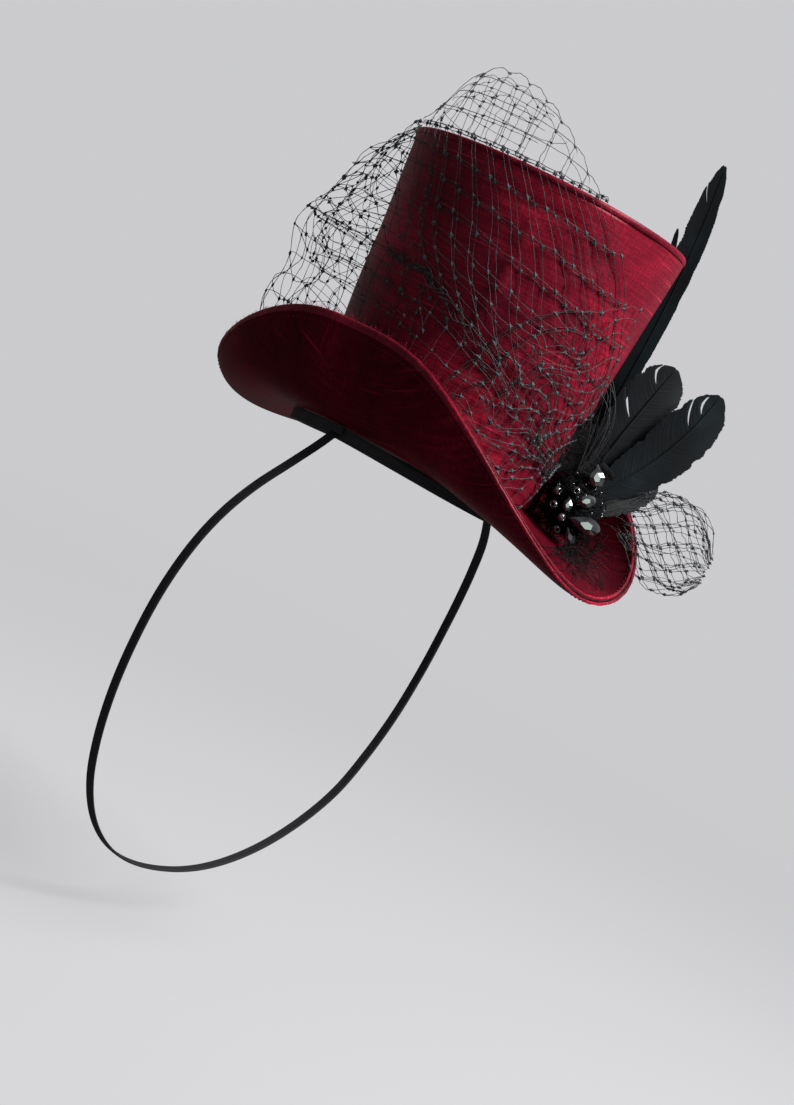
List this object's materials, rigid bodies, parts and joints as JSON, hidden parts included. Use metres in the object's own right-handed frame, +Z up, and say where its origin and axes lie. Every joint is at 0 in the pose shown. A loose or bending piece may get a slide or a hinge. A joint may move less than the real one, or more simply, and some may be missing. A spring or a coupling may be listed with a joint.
{
  "type": "mini top hat fascinator",
  "caption": "Mini top hat fascinator in shot silk with a rolled brim, net veil, feathers, glass beads and an elastic head strap.",
  "frame": {"origin": "middle of the head opening, level with the middle of the brim's inner edge", "axes": "+Z up the crown's axis, -Y towards the wearer's front, +X towards the wearer's left"},
  "size_m": [0.1556, 0.186, 0.3169],
  "materials": {
    "silk": "slubbed silk with a soft sheen",
    "ribbon": "matte grosgrain ribbon",
    "elastic": "matte ribbed elastic",
    "net": "fine knotted veiling",
    "feather": "smooth with a faint blue-green sheen",
    "glass": "polished and faceted"
  },
  "bodies": {
    "root": {"crown_side": "silk", "crown_top": "silk", "brim_upper": "silk", "brim_lower": "silk", "head_band": "ribbon", "strap_tab_right": "elastic", "strap_tab_left": "elastic", "elastic_strap": "elastic", "veil_side": "net", "veil_crest": "net", "veil_front": "net", "cluster_pad": "ribbon", "long_feather": "feather", "short_feather": "feather", "wide_feather_1": "feather", "wide_feather_2": "feather", "wide_feather_3": "feather", "drop_bead_1": "glass", "drop_bead_2": "glass", "drop_bead_3": "glass", "drop_bead_4": "glass", "drop_bead_5": "glass", "round_bead_1": "glass", "round_bead_2": "glass", "round_bead_3": "glass", "round_bead_4": "glass", "round_bead_5": "glass"}
  },
  "joints": []
}
